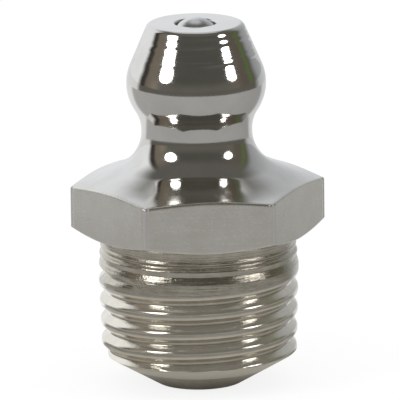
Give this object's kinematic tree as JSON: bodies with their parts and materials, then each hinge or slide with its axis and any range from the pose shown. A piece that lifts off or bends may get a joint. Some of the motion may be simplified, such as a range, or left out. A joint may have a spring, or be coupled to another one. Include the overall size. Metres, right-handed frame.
{
  "type": "grease nipple",
  "caption": "Straight grease fitting with a conical coupler head, hexagon, short taper male thread and a spring-loaded check ball.",
  "frame": {"origin": "middle of the thread's end face", "axes": "+Z along the axis, from the thread's end face to the head; two of the hexagon's flats face -Y and +Y"},
  "size_m": [0.0128, 0.011, 0.0185],
  "materials": {
    "plated_steel": "bright plated steel, as turned",
    "ball_steel": "polished bearing steel",
    "spring_steel": "drawn wire"
  },
  "bodies": {
    "body": {"nipple_body": "plated_steel", "spring": "spring_steel"},
    "ball": {"check_ball": "ball_steel"}
  },
  "joints": [
    {"name": "ball_slide", "type": "slide", "parent": "body", "child": "ball", "axis": [0, 0, -1], "range_m": [0, 0.001], "stiffness_N_per_m": 200, "deforming": ["spring"]}
  ]
}
